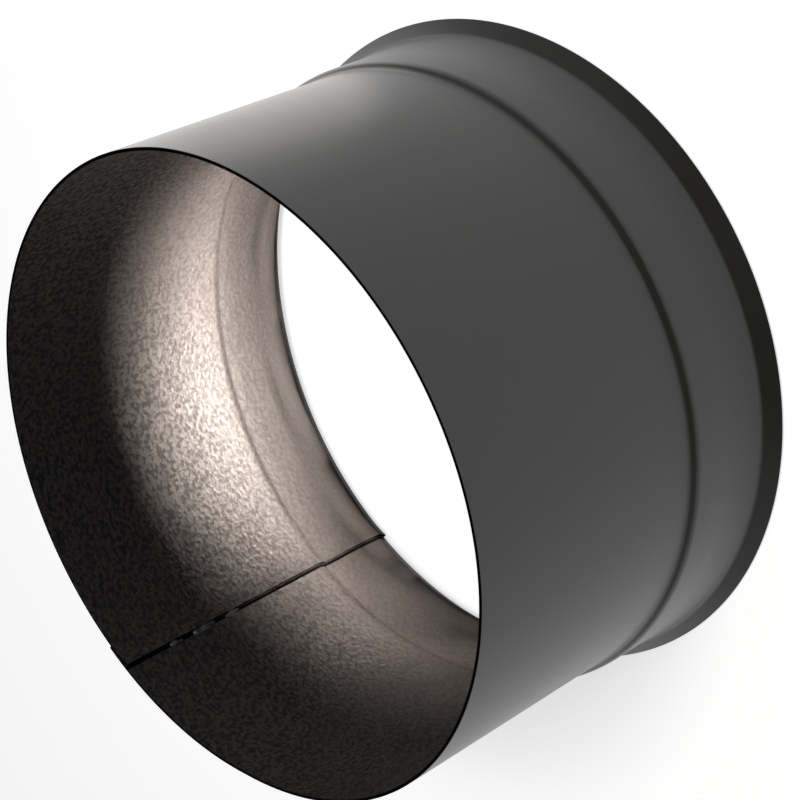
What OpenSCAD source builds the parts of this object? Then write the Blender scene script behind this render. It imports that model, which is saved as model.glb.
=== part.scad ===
// Sheet-steel vent pipe adapter: a short rolled tube with a plain end on top and a
// swaged, flared collar below, closed by one welded lap seam.
// The rim of the collar stands on z = 0 and the tube runs up along +Z.

/* [Sheet] */
// Thickness of the steel sheet
sheet_t = 0.8; // [0.5:0.05:1.2]

/* [Plain end] */
// Outside diameter of the plain end
body_od = 152.4; // [120:0.2:156]
// Length of the adapter from rim to rim
total_len = 94; // [60:1:160]

/* [Collar] */
// Height of the collar, from its rim to the middle of the swage
collar_len = 26.5; // [24:0.5:40]
// Radial clearance round a pipe of the plain end's diameter in the collar
socket_clear = 0.6; // [0.3:0.05:1]
// Bend radius where the swage meets the collar, at mid-sheet
swage_top_r = 2.4; // [1.5:0.1:3.5]
// Bend radius where the swage meets the plain end, at mid-sheet
swage_root_r = 3.2; // [1.5:0.1:4.5]
// Radius of the slow outward sweep below the straight land of the collar
flare_r = 80; // [40:1:100]
// Slope of the wall at the end of that sweep, in degrees
flare_a = 8; // [4:0.5:10]

/* [Lip] */
// Outward reach of the lip's rim beyond the straight land of the collar
lip_reach = 4.4; // [3.6:0.1:6]
// Slope of the turned-out lip, in degrees
lip_a = 40; // [34:1:50]
// Bend radius between the sweep and the lip, at mid-sheet
lip_bend_r = 3; // [1.5:0.1:4]

/* [Lap seam] */
// Direction in which the inner edge of the sheet lies, in degrees
seam_at = 90; // [0:1:359]
// Width over which the sheet lies double
lap_w = 6.6; // [4:0.1:12]
// Angle over which the outer sheet runs back down to the round of the tube
run_out_a = 34; // [25:1:45]

/* [Hidden] */
$fn = 128;
bend_steps = 4;

body_r = body_od / 2;
body_mid = body_r - sheet_t / 2;
step_out = sheet_t + socket_clear;
collar_mid = body_mid + step_out;
rim_mid = collar_mid + sheet_t / 2 + lip_reach - sheet_t / 2 / cos(lip_a);

// Swage: two arcs that meet at one slope
swage_a = acos(1 - step_out / (swage_top_r + swage_root_r));
swage_h = (swage_top_r + swage_root_r) * sin(swage_a);
land_top = collar_len - swage_h / 2;
body_bottom = collar_len + swage_h / 2;

// Lip, bend and sweep, worked out from the rim upward
flare_rise = flare_r * (1 - cos(flare_a));
bend_rise = lip_bend_r * (cos(flare_a) - cos(lip_a));
lip_rise = rim_mid - collar_mid - flare_rise - bend_rise;
lip_h = lip_rise / tan(lip_a);
bend_top = lip_h + lip_bend_r * (sin(lip_a) - sin(flare_a));
land_bottom = bend_top + flare_r * sin(flare_a);

// Centres of the four bends
lip_bend_at = [rim_mid - lip_rise + lip_bend_r * cos(lip_a), lip_h + lip_bend_r * sin(lip_a)];
flare_at = [collar_mid + flare_r, land_bottom];
swage_top_at = [collar_mid - swage_top_r, land_top];
swage_root_at = [body_mid + swage_root_r, body_bottom];

// Lap seam: the outer sheet follows a smaller circle whose centre is moved towards the seam
lap_a = lap_w / body_r * 180 / PI;
run_out_drop = sheet_t * cos(run_out_a) / (1 - cos(run_out_a));
run_out_shift = run_out_drop + sheet_t;

// How far the forms run on past the rims before they are cut flat
past = 5;
ring_r = body_mid - run_out_shift - past;

steel_black = [0.17, 0.165, 0.16];

// Points along a bend, from one angle to another
function bend(centre, r, from_a, to_a) = [
    for (i = [0 : bend_steps])
        let(a = from_a + (to_a - from_a) * i / bend_steps)
        centre + r * [cos(a), sin(a)]
];

// Side of the sheet from the rim to the plain end; out is half the sheet's thickness,
// positive for the outer side and negative for the inner one
function side(out) = concat(
    [[rim_mid + out / cos(lip_a), 0]],
    bend(lip_bend_at, lip_bend_r - out, 180 + lip_a, 180 + flare_a),
    bend(flare_at, flare_r - out, 180 + flare_a, 180),
    bend(swage_top_at, swage_top_r + out, 0, swage_a),
    bend(swage_root_at, swage_root_r - out, 180 + swage_a, 180),
    [[body_mid + out, total_len]]
);

// Everything within one side of the sheet, run on past both rims
module within(out) {
    edge = side(out);
    rotate_extrude()
        polygon(concat(
            [[0, -past], [edge[0].x, -past]],
            edge,
            [[edge[len(edge) - 1].x, total_len + past], [0, total_len + past]]
        ));
}

// A ring within one side of the outer sheet, from one direction to the end of its run-out,
// where its circle comes back to that of the tube
module within_outer_sheet(out, from_a) {
    edge = [for (p = side(out)) p - [run_out_drop, 0]];
    translate(run_out_shift * [cos(seam_at), sin(seam_at), 0])
        rotate([0, 0, from_a])
            rotate_extrude(angle = seam_at + run_out_a - from_a)
                polygon(concat(
                    [[ring_r, -past / 2], [edge[0].x, -past / 2]],
                    edge,
                    [[edge[len(edge) - 1].x, total_len + past / 2], [ring_r, total_len + past / 2]]
                ));
}

module adapter_shell() {
    color(steel_black)
        intersection() {
            difference() {
                union() {
                    within(sheet_t / 2);
                    within_outer_sheet(sheet_t / 2, seam_at - lap_a);
                }
                within(-sheet_t / 2);
                within_outer_sheet(-sheet_t / 2, seam_at);
            }
            cylinder(h = total_len, r = rim_mid + past);
        }
}

adapter_shell();
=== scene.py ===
"""Vent pipe adapter: one rolled sheet of painted steel, closed by a lap seam.

Run as a script it builds the adapter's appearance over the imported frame, the stage, the lamps and
the camera. Registered as an add-on it offers the same builders as buttons in the 3D view's sidebar.
All lengths are in metres, in the frame's own axes: +Z runs up the tube, +Y points at the lap seam.
"""

import math

import bmesh
import bpy
from bpy.props import FloatProperty, FloatVectorProperty, IntProperty, PointerProperty
from mathutils import Matrix, Vector, noise


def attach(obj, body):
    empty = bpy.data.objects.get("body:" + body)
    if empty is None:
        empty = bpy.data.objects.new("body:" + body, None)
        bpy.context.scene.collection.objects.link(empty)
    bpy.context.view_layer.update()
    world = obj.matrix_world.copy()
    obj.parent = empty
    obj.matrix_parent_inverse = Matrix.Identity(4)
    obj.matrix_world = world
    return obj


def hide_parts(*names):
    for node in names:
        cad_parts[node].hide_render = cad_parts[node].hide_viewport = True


bl_info = {
    "name": "Vent pipe adapter",
    "version": (1, 0, 0),
    "blender": (4, 5, 0),
    "location": "3D View > Sidebar > Adapter",
    "description": "Builds a rolled sheet-steel vent pipe adapter with its stage, lamps and camera",
    "category": "Object",
}

NODE = "adapter_shell"
BODY = "root"

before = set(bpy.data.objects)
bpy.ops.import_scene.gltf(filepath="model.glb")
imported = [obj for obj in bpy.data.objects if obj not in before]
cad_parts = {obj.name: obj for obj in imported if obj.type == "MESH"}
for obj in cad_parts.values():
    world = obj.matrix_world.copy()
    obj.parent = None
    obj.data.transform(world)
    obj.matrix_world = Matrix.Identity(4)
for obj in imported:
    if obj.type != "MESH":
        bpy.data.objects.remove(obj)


# Kinds of setting


def metres(name, description, default):
    """A length."""
    return FloatProperty(
        name=name, description=description, default=default, precision=5, unit="LENGTH"
    )


def degrees(name, description, default):
    """An angle."""
    start = math.radians(default)
    return FloatProperty(name=name, description=description, default=start, subtype="ANGLE")


def number(name, description, default):
    """A plain number."""
    return FloatProperty(name=name, description=description, default=default, precision=4)


def count(name, description, default):
    """A whole number."""
    return IntProperty(name=name, description=description, default=default, min=0)


def watts(name, description, default):
    """The power of a lamp."""
    return FloatProperty(
        name=name, description=description, default=default, precision=4, unit="POWER"
    )


def colour(name, description, default):
    """A linear colour."""
    return FloatVectorProperty(
        name=name,
        description=description,
        default=default,
        precision=4,
        subtype="COLOR",
        min=0,
        max=1,
    )


def powers(name, description, default):
    """The powers of a row of lamps."""
    size = len(default)
    return FloatVectorProperty(
        name=name, description=description, default=default, precision=4, size=size, unit="POWER"
    )


def shares(name, description, default):
    """A row of plain numbers."""
    size = len(default)
    return FloatVectorProperty(
        name=name, description=description, default=default, precision=4, size=size
    )


def place(name, description, default):
    """A point or a set of three lengths."""
    return FloatVectorProperty(
        name=name, description=description, default=default, precision=5, subtype="TRANSLATION"
    )


def way(name, description, default):
    """A direction."""
    return FloatVectorProperty(
        name=name, description=description, default=default, precision=5, subtype="DIRECTION"
    )


# Settings


class AdapterSheet(bpy.types.PropertyGroup):
    """Sizes of the rolled sheet."""

    thickness: metres("Sheet", "Thickness of the steel sheet", 0.0008)
    body_radius: metres("Plain end", "Outer radius of the plain end", 0.0762)
    height: metres("Height", "Height from rim to rim", 0.094)
    collar: metres("Collar", "Height of the collar, to the middle of the swage", 0.0265)
    clearance: metres("Clearance", "Radial clearance in the collar", 0.0006)
    swage_top: metres("Swage top", "Bend radius where the swage meets the collar", 0.0024)
    swage_root: metres("Swage root", "Bend radius where the swage meets the plain end", 0.0032)
    sweep: metres("Sweep", "Radius of the collar's slow outward sweep", 0.080)
    sweep_slope: degrees("Sweep slope", "Slope of the wall at the end of the sweep", 8)
    lip_reach: metres("Lip reach", "Outward reach of the lip beyond the collar", 0.0044)
    lip_slope: degrees("Lip slope", "Slope of the turned-out lip", 40)
    lip_bend: metres("Lip bend", "Bend radius between the sweep and the lip", 0.003)
    bend_steps: count("Bend steps", "Divisions of one bend", 8)
    body_rows: count("Body rows", "Divisions up the plain end", 8)
    turn_steps: count("Turn steps", "Divisions round the tube", 480)
    edge_round: metres("Edge round", "Rounding of the cut edges", 0.0001)
    edge_angle: degrees("Edge angle", "Smallest corner that is rounded", 50)


class AdapterSeam(bpy.types.PropertyGroup):
    """Sizes of the lap seam."""

    at: degrees("Seam", "Direction of the inner sheet's free edge", 90)
    lap: metres("Lap", "Width over which the sheet lies double", 0.0066)
    run_out: degrees("Run-out", "Angle over which the outer sheet comes back to the round", 34)
    spring: metres("Spring", "How far the free edge springs inwards", 0.00045)
    spring_width: metres("Spring width", "Width of the sheet that springs with it", 0.0053)
    tacks: shares("Tacks", "Size of each tack weld, from the lowest up", (0.7, 1.1, 0.6))
    tack_from: metres("First tack", "Height of the lowest tack weld", 0.0593)
    tack_step: metres("Tack step", "Distance from one tack weld to the next", 0.0095)
    tack_half: place("Tack size", "Half sizes: out, across and along", (0.0006, 0.0010, 0.0034))
    tack_uneven: metres("Tack unevenness", "Height of the lumps on a tack weld", 0.0006)
    tack_lump: metres("Tack lump", "Size of those lumps", 0.0020)
    # Painted shadow: the strip past the free edge is coloured near black, as the free edge's shadow.
    painted_shadow_width: metres("Seam shade", "Width of the dark line beside the free edge", 0.0008)


class AdapterPaint(bpy.types.PropertyGroup):
    """Colours and grain of the coat."""

    out_deep: colour("Outside, deep", "Darker tone of the outside", (0.0105, 0.0100, 0.0092))
    out_pale: colour("Outside, pale", "Paler tone of the outside", (0.0150, 0.0145, 0.0132))
    out_smooth: number("Outside, smooth", "Roughness of its smoothest spots", 0.30)
    out_rough: number("Outside, rough", "Roughness of its roughest spots", 0.38)
    out_grain: metres("Outside grain", "Size of its grain", 0.0009)
    out_relief: metres("Outside relief", "Depth of its grain", 0.00001)
    # The inside's pits take the deep tone: partly the coat's own flecks, partly painted shade in the
    # pits.
    in_deep: colour("Inside, deep", "Tone of the inside in its fine pits", (0.0065, 0.0060, 0.0058))
    in_pale: colour("Inside, pale", "Tone of the inside between them", (0.0250, 0.0232, 0.0222))
    in_smooth: number("Inside, smooth", "Roughness between the pits", 0.46)
    in_rough: number("Inside, rough", "Roughness in the pits", 0.66)
    in_sheen: number("Inside, sheen", "Strength of the inside's reflection", 0.35)
    in_grain: metres("Inside grain", "Size of its grain", 0.0013)
    in_relief: metres("Inside relief", "Depth of its grain", 0.0003)
    grain_above: metres("Grain above", "Height at which the grain, none at the lip, is full", 0.045)
    # Painted shade: this near-black tone colours the cut edges and the strip past the seam's free
    # edge; edge_sheen takes their reflection away.
    painted_shade_tone: colour("Cut edge", "Tone of the cut edges", (0.0015, 0.0015, 0.0015))
    edge_rough: number("Cut edge, rough", "Roughness of the cut edges", 0.9)
    edge_sheen: number("Cut edge, sheen", "Strength of the cut edges' reflection", 0.0)
    weld_deep: colour("Weld, deep", "Darker tone of the tack welds", (0.050, 0.051, 0.054))
    weld_pale: colour("Weld, pale", "Paler tone of the tack welds", (0.120, 0.122, 0.128))
    weld_rough: number("Weld, rough", "Roughness of the tack welds", 0.40)
    weld_metal: number("Weld, metal", "Share of bare metal in the tack welds", 0.5)


class AdapterLight(bpy.types.PropertyGroup):
    """Strengths and places of the lamps, the floor and the surroundings."""

    pale_side: number("Pale side", "Strength of the pale surroundings", 0.36)
    dark_side: number("Dark side", "Strength of the surroundings behind the camera", 0.027)
    dark_way: way("Dark way", "Middle of the darker surroundings", (-0.402, -0.643, 0.653))
    dark_edge: number("Dark edge", "Cosine from the middle at which they begin to darken", 0.35)
    dark_full: number("Dark full", "Cosine from the middle at which they are darkest", 0.90)
    floor_tone: number("Floor tone", "Reflectance of the floor", 0.6)
    floor_glow: number("Floor glow", "Glow of the floor", 0.64)
    inner_glow: number("Inner glow", "Glow of the floor in the opening, for the camera alone", 1.0)
    tint: colour("Tint", "Tint of the side lamp and the card", (1.0, 0.97, 0.95))
    side_power: watts("Side lamp", "Power of the side lamp", 3.19)
    side_place: place("Side place", "Place of the side lamp", (-0.03, -0.36, 0.68))
    side_size: metres("Side size", "Width of the side lamp", 0.22)
    card_power: watts("Card", "Power of the bright card on the floor", 0.0765)
    card_place: place("Card place", "Place of the card", (0.165, 0.0, 0.001))
    card_size: metres("Card size", "Width of the card", 0.16)
    beam_powers: powers(
        "Beams", "Power of each low beam from the opening", (0.020, 0.076, 0.160, 0.096, 0.004, 0.024)
    )
    beam_first: degrees("First beam", "Direction in which the first beam goes", -20)
    beam_step: degrees("Beam step", "Turn from one beam to the next", 30)
    beam_rise: degrees("Beam rise", "Angle at which the beams rise", 17)
    beam_spread: degrees("Beam spread", "Full angle over which a beam opens", 16)
    beam_radius: metres("Beam radius", "Radius of the round patch that the beams rise from", 0.074)
    beam_depth: metres("Beam depth", "Height of one of the beams' thin lamps", 0.006)
    beam_rows: count("Beam rows", "Number of thin lamps that make one beam", 6)
    beam_past: number("Beam past middle", "Share of its power that a lamp past the middle keeps", 0.3)
    beam_tint: colour("Beam tint", "Tint of the beams", (1.0, 0.86, 0.78))
    sky_seen: number("Sky seen", "Strength of the surroundings, as the camera sees them", 0.80)


class AdapterView(bpy.types.PropertyGroup):
    """The camera."""

    lens: number("Lens", "Focal length in millimetres", 98.4)
    sensor: number("Sensor", "Width of the sensor in millimetres", 36.0)
    shift_x: number("Shift X", "Sideways shift of the picture, in picture widths", 0.075)
    shift_y: number("Shift Y", "Upward shift of the picture, in picture widths", 0.1437)
    place: place("Place", "Place of the camera", (-0.151819, -0.362967, 0.368190))
    right: way("Right", "Direction of the picture's right", (-0.615983, -0.347679, -0.706883))
    up: way("Up", "Direction of the picture's top", (0.738355, -0.567593, -0.364239))


# Form


def bend(centre, radius, start, end, steps):
    """Points along one bend of the sheet's middle, from angle start to angle end."""
    out = []
    for i in range(steps + 1):
        a = start + (end - start) * i / steps
        out.append(Vector((centre[0] + radius * math.cos(a), 0, centre[1] + radius * math.sin(a))))
    return out


def middle_line(s):
    """The sheet's middle from the lip's rim up to the plain end, in the XZ plane."""
    half = s.thickness / 2
    body = s.body_radius - half
    step = s.thickness + s.clearance
    collar = body + step
    rim = collar + half + s.lip_reach - half / math.cos(s.lip_slope)
    swage = math.acos(1 - step / (s.swage_top + s.swage_root))
    swage_h = (s.swage_top + s.swage_root) * math.sin(swage)
    land_top = s.collar - swage_h / 2
    body_bottom = s.collar + swage_h / 2
    rise = rim - collar - s.sweep * (1 - math.cos(s.sweep_slope))
    rise -= s.lip_bend * (math.cos(s.sweep_slope) - math.cos(s.lip_slope))
    lip_h = rise / math.tan(s.lip_slope)
    bend_top = lip_h + s.lip_bend * (math.sin(s.lip_slope) - math.sin(s.sweep_slope))
    land_bottom = bend_top + s.sweep * math.sin(s.sweep_slope)
    # The rim is cut square to the sheet, so its middle stands a little above the floor.
    foot = half * math.sin(s.lip_slope)
    points = [Vector((rim - foot * math.tan(s.lip_slope), 0, foot))]
    lip_centre = (
        rim - rise + s.lip_bend * math.cos(s.lip_slope),
        lip_h + s.lip_bend * math.sin(s.lip_slope),
    )
    sweep_centre = (collar + s.sweep, land_bottom)
    top_centre = (collar - s.swage_top, land_top)
    root_centre = (body + s.swage_root, body_bottom)
    half_turn = math.pi
    n = s.bend_steps
    points += bend(lip_centre, s.lip_bend, half_turn + s.lip_slope, half_turn + s.sweep_slope, n)
    points += bend(sweep_centre, s.sweep, half_turn + s.sweep_slope, half_turn, n)[1:]
    points += bend(top_centre, s.swage_top, 0, swage, n)
    points += bend(root_centre, s.swage_root, half_turn + swage, half_turn, n)[1:]
    for i in range(1, s.body_rows + 1):
        points.append(Vector((body, 0, body_bottom + (s.height - body_bottom) * i / s.body_rows)))
    return points


def outward(sheet, seam, angle, radius):
    """How far the outer sheet stands out from the tube at this angle from the seam's inner edge."""
    if angle >= seam.run_out:
        return 0.0
    drop = sheet.thickness * math.cos(seam.run_out) / (1 - math.cos(seam.run_out))
    shift = drop + sheet.thickness
    across = shift * math.sin(angle)
    return max(0.0, shift * math.cos(angle) + math.sqrt((radius - drop) ** 2 - across**2) - radius)


def into_scene(name, bm):
    """Makes a smooth-shaded object of the mesh data and links it to the scene."""
    for f in bm.faces:
        f.smooth = True
    mesh = bpy.data.meshes.new(name)
    bm.to_mesh(mesh)
    bm.free()
    obj = bpy.data.objects.new(name, mesh)
    bpy.context.scene.collection.objects.link(obj)
    return obj


def build_shell(sheet, seam):
    """Spins the section once round and past itself, lays one end over the other, and thickens it."""
    lap = seam.lap / sheet.body_radius
    turn = 2 * math.pi + lap
    step = turn / sheet.turn_steps
    bm = bmesh.new()
    line = [bm.verts.new(p) for p in middle_line(sheet)]
    edges = [bm.edges.new(pair) for pair in zip(line, line[1:])]
    bmesh.ops.rotate(bm, verts=line, cent=(0, 0, 0), matrix=Matrix.Rotation(seam.at - lap, 3, "Z"))
    bmesh.ops.spin(
        bm,
        geom=line + edges,
        cent=(0, 0, 0),
        axis=(0, 0, 1),
        angle=turn,
        steps=sheet.turn_steps,
        use_merge=False,
        use_duplicate=False,
    )
    bm.verts.index_update()
    springing = seam.spring_width / sheet.body_radius
    for v in bm.verts:
        along = (v.index // len(line)) * step
        radius = math.hypot(v.co.x, v.co.y)
        out = outward(sheet, seam, along - lap, radius)
        left = turn - along
        if left < springing:
            out -= seam.spring * (1 - left / springing) ** 2
        v.co.x *= 1 + out / radius
        v.co.y *= 1 + out / radius
    bmesh.ops.recalc_face_normals(bm, faces=bm.faces)
    probe = max(bm.faces, key=lambda f: f.calc_center_median().z)
    centre = probe.calc_center_median()
    if probe.normal.x * centre.x + probe.normal.y * centre.y < 0:
        bmesh.ops.reverse_faces(bm, faces=bm.faces)
    obj = into_scene("adapter_sheet", bm)
    thick = obj.modifiers.new("Sheet thickness", "SOLIDIFY")
    thick.thickness = sheet.thickness
    thick.offset = 0
    thick.use_even_offset = True
    thick.material_offset = 1
    # The cut edges take the third material, coloured near black as painted shade.
    thick.material_offset_rim = 2
    soft = obj.modifiers.new("Cut edges", "BEVEL")
    soft.width = sheet.edge_round
    soft.segments = 2
    soft.limit_method = "ANGLE"
    soft.angle_limit = sheet.edge_angle
    soft.harden_normals = True
    return obj


def build_tacks(sheet, seam):
    """Small beads that tie the inner sheet's free edge to the outer sheet."""
    bm = bmesh.new()
    middle = sheet.body_radius - sheet.thickness / 2
    out, across, along = seam.tack_half
    past_edge = across / 2 / middle
    turn = Matrix.Rotation(seam.at + past_edge, 4, "Z")
    for i, share in enumerate(seam.tacks):
        at = Matrix.Translation((middle, 0, seam.tack_from + i * seam.tack_step))
        size = Matrix.Diagonal((out, share * across, share * along, 1))
        bmesh.ops.create_icosphere(bm, subdivisions=4, radius=1.0, matrix=turn @ at @ size)
    bm.normal_update()
    for v in bm.verts:
        lump = noise.noise(v.co / seam.tack_lump)
        v.co += v.normal * seam.tack_uneven * lump
    return into_scene("seam_tacks", bm)


# Materials


def node(tree, kind, at, **values):
    """Adds a shader node and sets the named inputs or properties."""
    n = tree.nodes.new(kind)
    n.location = at
    for key, value in values.items():
        if key in n.inputs:
            n.inputs[key].default_value = value
        else:
            setattr(n, key, value)
    return n


def scaled(node_, **values):
    """Sets inputs whose names have a space, written with an underscore."""
    for key, value in values.items():
        node_.inputs[key.replace("_", " ")].default_value = value
    return node_


def paint_grain_group():
    """Grain of a sprayed coat: a height, fine pits (0 in a pit, 1 beside it) and slow clouds."""
    name = "Sprayed grain"
    if name in bpy.data.node_groups:
        return bpy.data.node_groups[name]
    group = bpy.data.node_groups.new(name, "ShaderNodeTree")
    face = group.interface
    face.new_socket("Vector", in_out="INPUT", socket_type="NodeSocketVector")
    size = face.new_socket("Grain size", in_out="INPUT", socket_type="NodeSocketFloat")
    size.default_value = 0.001
    much = face.new_socket("Amount", in_out="INPUT", socket_type="NodeSocketFloat")
    much.default_value = 1.0
    for output in ("Height", "Pits", "Cloud"):
        face.new_socket(output, in_out="OUTPUT", socket_type="NodeSocketFloat")
    pit_from, pit_to = 0.40, 0.55
    plain_level = 0.65
    cell_share = 0.55
    cloud_scale = 28.0
    start = node(group, "NodeGroupInput", (-900, 0))
    end = node(group, "NodeGroupOutput", (900, 0))
    per = node(group, "ShaderNodeMath", (-700, -100), operation="DIVIDE")
    per.inputs[0].default_value = 1.0
    specks = node(group, "ShaderNodeTexNoise", (-450, 150), Detail=1.0, Roughness=0.5)
    cells = node(group, "ShaderNodeTexVoronoi", (-450, -150))
    cloud = node(group, "ShaderNodeTexNoise", (-450, -450), Scale=cloud_scale, Detail=3.0)
    lumps = node(group, "ShaderNodeMath", (-150, 100), operation="MULTIPLY_ADD")
    lumps.inputs[1].default_value = cell_share
    pits = scaled(node(group, "ShaderNodeMapRange", (-150, -100)), From_Min=pit_from, From_Max=pit_to)
    height = node(group, "ShaderNodeMath", (300, 100), operation="MULTIPLY")
    plain = node(group, "ShaderNodeMix", (300, -100), data_type="FLOAT")
    plain.inputs["A"].default_value = plain_level
    link = group.links.new
    link(start.outputs["Grain size"], per.inputs[1])
    link(per.outputs[0], specks.inputs["Scale"])
    link(per.outputs[0], cells.inputs["Scale"])
    for tex in (specks, cells, cloud):
        link(start.outputs["Vector"], tex.inputs["Vector"])
    link(cells.outputs["Distance"], lumps.inputs[0])
    link(specks.outputs["Fac"], lumps.inputs[2])
    link(lumps.outputs[0], height.inputs[0])
    link(start.outputs["Amount"], height.inputs[1])
    link(height.outputs[0], end.inputs["Height"])
    link(specks.outputs["Fac"], pits.inputs["Value"])
    link(start.outputs["Amount"], plain.inputs["Factor"])
    link(pits.outputs["Result"], plain.inputs["B"])
    link(plain.outputs["Result"], end.inputs["Pits"])
    link(cloud.outputs["Fac"], end.inputs["Cloud"])
    return group


def coat(name, grain_size, pattern, tones, roughness, relief):
    """A coat whose tone, roughness and relief follow one pattern of the sprayed grain."""
    mat = bpy.data.materials.new(name)
    mat.use_nodes = True
    tree = mat.node_tree
    paint = tree.nodes["Principled BSDF"]
    where = node(tree, "ShaderNodeTexCoord", (-1300, 0))
    grain = node(tree, "ShaderNodeGroup", (-850, 0), node_tree=paint_grain_group())
    grain.inputs["Grain size"].default_value = grain_size
    tint = node(tree, "ShaderNodeMix", (-500, 200), data_type="RGBA")
    tint.inputs["A"].default_value = (*tones[0], 1)
    tint.inputs["B"].default_value = (*tones[1], 1)
    gloss = node(tree, "ShaderNodeMapRange", (-500, -50))
    scaled(gloss, To_Min=roughness[0], To_Max=roughness[1])
    bump = node(tree, "ShaderNodeBump", (-300, -300), Strength=1.0, Distance=relief)
    link = tree.links.new
    link(where.outputs["Object"], grain.inputs["Vector"])
    link(grain.outputs[pattern], tint.inputs["Factor"])
    link(tint.outputs["Result"], paint.inputs["Base Color"])
    link(grain.outputs[pattern], gloss.inputs["Value"])
    link(gloss.outputs["Result"], paint.inputs["Roughness"])
    link(grain.outputs["Height"], bump.inputs["Height"])
    link(bump.outputs["Normal"], paint.inputs["Normal"])
    return mat


def satin_outside(p):
    """Satin black paint, almost smooth, with a faint cloudiness."""
    tones = (p.out_deep, p.out_pale)
    rough = (p.out_smooth, p.out_rough)
    return coat("satin_black_paint", p.out_grain, "Cloud", tones, rough, p.out_relief)


def painted_seam_shadow(tree, where, seam):
    """A mask of the strip that lies just past the inner sheet's free edge, where the painted shadow
    goes.
    """
    past = node(tree, "ShaderNodeVectorMath", (-1100, 500), operation="DOT_PRODUCT")
    past.inputs[1].default_value = (-math.sin(seam.at), math.cos(seam.at), 0)
    near = node(tree, "ShaderNodeVectorMath", (-1100, 300), operation="DOT_PRODUCT")
    near.inputs[1].default_value = (math.cos(seam.at), math.sin(seam.at), 0)
    within = node(tree, "ShaderNodeMath", (-850, 500), operation="COMPARE")
    within.inputs[1].default_value = within.inputs[2].default_value = seam.painted_shadow_width / 2
    facing = node(tree, "ShaderNodeMath", (-850, 300), operation="GREATER_THAN")
    facing.inputs[1].default_value = 0.0
    both = node(tree, "ShaderNodeMath", (-650, 400), operation="MULTIPLY")
    link = tree.links.new
    link(where.outputs["Object"], past.inputs[0])
    link(where.outputs["Object"], near.inputs[0])
    link(past.outputs["Value"], within.inputs[0])
    link(near.outputs["Value"], facing.inputs[0])
    link(within.outputs[0], both.inputs[0])
    link(facing.outputs[0], both.inputs[1])
    return both.outputs[0]


def grained_inside(p, seam):
    """Coarser black coat, its fine pits darker partly as painted shade, plainer towards the lip, with
    a painted shadow beside the seam.
    """
    tones = (p.in_deep, p.in_pale)
    rough = (p.in_rough, p.in_smooth)
    # Darker in the pits: partly the coat's own flecks, partly painted shade.
    mat = coat("grained_black_inside", p.in_grain, "Pits", tones, rough, p.in_relief)
    tree = mat.node_tree
    paint = tree.nodes["Principled BSDF"]
    where = next(n for n in tree.nodes if n.type == "TEX_COORD")
    grain = next(n for n in tree.nodes if n.type == "GROUP")
    height = node(tree, "ShaderNodeSeparateXYZ", (-1300, -250))
    amount = node(tree, "ShaderNodeMapRange", (-1100, -250))
    scaled(amount, From_Max=p.grain_above)
    # Painted shadow beside the seam: the strip past the free edge takes the near-black tone and loses
    # its reflection.
    shade = painted_seam_shadow(tree, where, seam)
    tint = paint.inputs["Base Color"].links[0].from_node
    dark = node(tree, "ShaderNodeMix", (-250, 300), data_type="RGBA")
    dark.inputs["B"].default_value = (*p.painted_shade_tone, 1)
    sheen = node(tree, "ShaderNodeMapRange", (-250, 50))
    scaled(sheen, To_Min=p.in_sheen, To_Max=p.edge_sheen)
    link = tree.links.new
    link(where.outputs["Object"], height.inputs["Vector"])
    link(height.outputs["Z"], amount.inputs["Value"])
    link(amount.outputs["Result"], grain.inputs["Amount"])
    link(shade, dark.inputs["Factor"])
    link(tint.outputs["Result"], dark.inputs["A"])
    link(dark.outputs["Result"], paint.inputs["Base Color"])
    link(shade, sheen.inputs["Value"])
    link(sheen.outputs["Result"], paint.inputs["Specular IOR Level"])
    return mat


def painted_shade_edge_coat(p):
    """Near-black, dull coat of the cut edges: painted shade, which makes the seam a dark line inside
    the tube.
    """
    tones = (p.painted_shade_tone, p.painted_shade_tone)
    rough = (p.edge_rough, p.edge_rough)
    mat = coat("cut_edge_painted_shade", p.out_grain, "Cloud", tones, rough, p.out_relief)
    scaled(mat.node_tree.nodes["Principled BSDF"], Specular_IOR_Level=p.edge_sheen)
    return mat


def weld_metal(p):
    """Dull, uneven steel of the tack welds."""
    tones = (p.weld_deep, p.weld_pale)
    rough = (p.weld_rough, p.weld_rough)
    mat = coat("weld_steel", p.out_grain, "Cloud", tones, rough, p.out_relief)
    scaled(mat.node_tree.nodes["Principled BSDF"], Metallic=p.weld_metal)
    return mat


def floor_material(light, opening_radius):
    """White floor with its own glow, and in the tube's opening only a glow, of another strength."""
    mat = bpy.data.materials.new("white_floor")
    mat.use_nodes = True
    tree = mat.node_tree
    paint = tree.nodes["Principled BSDF"]
    scaled(paint, Emission_Color=(1, 1, 1, 1), Roughness=1.0, Specular_IOR_Level=0.0)
    where = node(tree, "ShaderNodeTexCoord", (-900, 0))
    reach = node(tree, "ShaderNodeVectorMath", (-700, 0), operation="LENGTH")
    ray = node(tree, "ShaderNodeLightPath", (-900, 300))
    opening = node(tree, "ShaderNodeMapRange", (-650, 300))
    scaled(opening, To_Max=light.inner_glow)
    glow = node(tree, "ShaderNodeMapRange", (-450, 0))
    tone = node(tree, "ShaderNodeMapRange", (-450, -300))
    edge = 0.985
    for outside, value in ((glow, light.floor_glow), (tone, light.floor_tone)):
        scaled(outside, From_Min=opening_radius * edge, From_Max=opening_radius, To_Max=value)
    link = tree.links.new
    link(where.outputs["Object"], reach.inputs[0])
    link(ray.outputs["Is Camera Ray"], opening.inputs["Value"])
    link(opening.outputs["Result"], glow.inputs["To Min"])
    link(reach.outputs["Value"], glow.inputs["Value"])
    link(reach.outputs["Value"], tone.inputs["Value"])
    link(tone.outputs["Result"], paint.inputs["Base Color"])
    link(glow.outputs["Result"], paint.inputs["Emission Strength"])
    return mat


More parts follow.
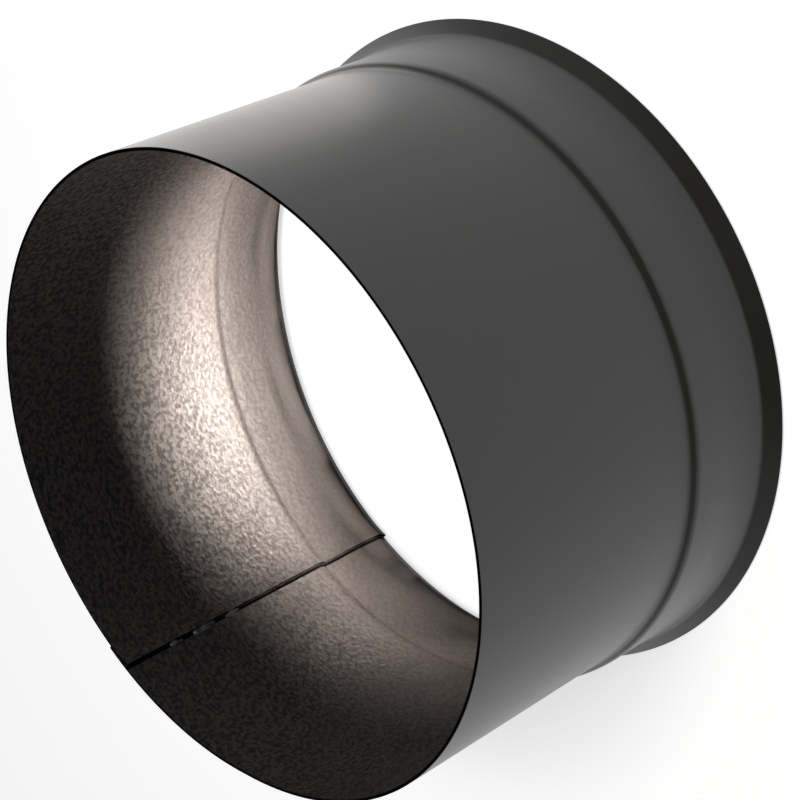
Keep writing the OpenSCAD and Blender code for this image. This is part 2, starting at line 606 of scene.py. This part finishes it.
def pale_room(light):
    """Pale surroundings that darken towards the side behind the camera."""
    world = bpy.data.worlds.new("pale_room")
    world.use_nodes = True
    tree = world.node_tree
    shade = tree.nodes["Background"]
    shade.inputs["Color"].default_value = (1, 1, 1, 1)
    where = node(tree, "ShaderNodeTexCoord", (-900, 0))
    facing = node(tree, "ShaderNodeVectorMath", (-700, 0), operation="DOT_PRODUCT")
    facing.inputs[1].default_value = Vector(light.dark_way).normalized()
    fade = node(tree, "ShaderNodeMapRange", (-450, 0), interpolation_type="SMOOTHSTEP")
    scaled(fade, From_Min=light.dark_edge, From_Max=light.dark_full)
    scaled(fade, To_Min=light.pale_side, To_Max=light.dark_side)
    ray = node(tree, "ShaderNodeLightPath", (-450, 300))
    seen = node(tree, "ShaderNodeMapRange", (-200, 0))
    scaled(seen, To_Max=light.sky_seen)
    link = tree.links.new
    link(where.outputs["Generated"], facing.inputs[0])
    link(facing.outputs["Value"], fade.inputs["Value"])
    link(ray.outputs["Is Camera Ray"], seen.inputs["Value"])
    link(fade.outputs["Result"], seen.inputs["To Min"])
    link(seen.outputs["Result"], shade.inputs["Strength"])
    return world


# Stage


def lamp(name, at, aim, power, tint, size, spread=math.pi):
    """Adds a rectangular lamp at a place, turned towards a point and hidden from the camera."""
    data = bpy.data.lights.new(name, "AREA")
    data.shape = "RECTANGLE"
    data.energy = power
    data.color = tint
    data.size, data.size_y = size
    data.spread = spread
    obj = bpy.data.objects.new(name, data)
    obj.location = at
    obj.rotation_mode = "QUATERNION"
    obj.rotation_quaternion = (Vector(aim) - Vector(at)).to_track_quat("-Z", "Y")
    obj.visible_camera = False
    bpy.context.scene.collection.objects.link(obj)
    return obj


def beam_lamps(light):
    """Low beams from the opening, fanned out; each is a row of thin lamps, one behind the other."""
    up = Vector((0, 0, 1))
    row = 2 * light.beam_radius / light.beam_rows
    total = math.pi * light.beam_radius**2 / row
    above_floor = 0.0005
    lift = light.beam_depth / 2 + above_floor
    lamps = []
    for k, power in enumerate(light.beam_powers):
        turn = light.beam_first + k * light.beam_step
        forth = Vector((math.cos(turn), math.sin(turn), 0))
        rise = forth * math.cos(light.beam_rise) + up * math.sin(light.beam_rise)
        for i in range(light.beam_rows):
            along = (i + 0.5) * row - light.beam_radius
            width = 2 * math.sqrt(light.beam_radius**2 - along**2)
            kept = light.beam_past if along > 0 else 1
            share = power * kept * width / total
            at = forth * along + up * lift
            size = (width, light.beam_depth)
            name = f"beam_{k + 1}_lamp_{i + 1}"
            lamps.append(lamp(name, at, at + rise, share, light.beam_tint, size, light.beam_spread))
    return lamps


def add_floor(light, sheet):
    """A wide white floor just below the rim."""
    half_width = 12.0
    just_below = 0.0001
    bm = bmesh.new()
    bmesh.ops.create_grid(bm, x_segments=1, y_segments=1, size=half_width)
    floor = into_scene("floor", bm)
    floor.location.z = -just_below
    rim_share = 0.9
    opening = sheet.body_radius + rim_share * sheet.lip_reach
    floor.data.materials.append(floor_material(light, opening))
    return floor


def add_camera(view):
    """The camera that sees the adapter as the photograph does."""
    data = bpy.data.cameras.new("camera")
    data.lens = view.lens
    data.sensor_width = view.sensor
    data.shift_x = view.shift_x
    data.shift_y = view.shift_y
    data.clip_start = 0.01
    data.clip_end = 20.0
    cam = bpy.data.objects.new("camera", data)
    right = Vector(view.right).normalized()
    back = right.cross(Vector(view.up)).normalized()
    turn = Matrix((right, back.cross(right), back)).transposed().to_4x4()
    cam.matrix_world = Matrix.Translation(view.place) @ turn
    bpy.context.scene.collection.objects.link(cam)
    return cam


# Operators


class ADAPTER_OT_sheet(bpy.types.Operator):
    """Build the rolled sheet with its collar and lap seam"""

    bl_idname = "adapter.sheet"
    bl_label = "Rolled sheet"

    def execute(self, context):
        scene = context.scene
        obj = build_shell(scene.adapter_sheet, scene.adapter_seam)
        obj.data.materials.append(satin_outside(scene.adapter_paint))
        obj.data.materials.append(grained_inside(scene.adapter_paint, scene.adapter_seam))
        # Third material: the cut edges' near-black painted shade.
        obj.data.materials.append(painted_shade_edge_coat(scene.adapter_paint))
        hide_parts(NODE)
        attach(obj, BODY)
        return {"FINISHED"}


class ADAPTER_OT_tacks(bpy.types.Operator):
    """Build the tack welds on the seam's inner edge"""

    bl_idname = "adapter.tacks"
    bl_label = "Tack welds"

    def execute(self, context):
        scene = context.scene
        obj = build_tacks(scene.adapter_sheet, scene.adapter_seam)
        obj.data.materials.append(weld_metal(scene.adapter_paint))
        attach(obj, BODY)
        return {"FINISHED"}


class ADAPTER_OT_stage(bpy.types.Operator):
    """Add the floor, the lamps, the surroundings and the camera"""

    bl_idname = "adapter.stage"
    bl_label = "Stage"

    def execute(self, context):
        scene = context.scene
        light = scene.adapter_light
        sheet = scene.adapter_sheet
        up = Vector((0, 0, 1))
        middle = up * sheet.height / 2
        card = Vector(light.card_place)
        side = (light.side_size, light.side_size)
        flat = (light.card_size, light.card_size)
        add_floor(light, sheet)
        lamp("side_lamp", light.side_place, middle, light.side_power, light.tint, side)
        lamp("card_lamp", card, card + up, light.card_power, light.tint, flat)
        beam_lamps(light)
        scene.world = pale_room(light)
        scene.camera = add_camera(scene.adapter_view)
        scene.view_settings.view_transform = "Standard"
        return {"FINISHED"}


class ADAPTER_PT_panel(bpy.types.Panel):
    """Builders of the vent pipe adapter"""

    bl_idname = "ADAPTER_PT_panel"
    bl_label = "Vent pipe adapter"
    bl_space_type = "VIEW_3D"
    bl_region_type = "UI"
    bl_category = "Adapter"

    def draw(self, context):
        layout = self.layout
        for name in SETTINGS:
            group = getattr(context.scene, name)
            box = layout.box()
            for key in group.bl_rna.properties.keys():
                if key not in {"rna_type", "name"}:
                    box.prop(group, key)
        for operator in OPERATORS:
            layout.operator(operator.bl_idname)


SETTINGS = {
    "adapter_sheet": AdapterSheet,
    "adapter_seam": AdapterSeam,
    "adapter_paint": AdapterPaint,
    "adapter_light": AdapterLight,
    "adapter_view": AdapterView,
}
OPERATORS = (ADAPTER_OT_sheet, ADAPTER_OT_tacks, ADAPTER_OT_stage)
CLASSES = (*SETTINGS.values(), *OPERATORS, ADAPTER_PT_panel)


def register():
    for c in CLASSES:
        bpy.utils.register_class(c)
    for name, group in SETTINGS.items():
        setattr(bpy.types.Scene, name, PointerProperty(type=group))


def unregister():
    for name in SETTINGS:
        delattr(bpy.types.Scene, name)
    for c in reversed(CLASSES):
        bpy.utils.unregister_class(c)


def main():
    register()
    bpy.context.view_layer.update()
    bpy.ops.adapter.sheet()
    bpy.ops.adapter.tacks()
    bpy.ops.adapter.stage()


if __name__ == "__main__":
    main()
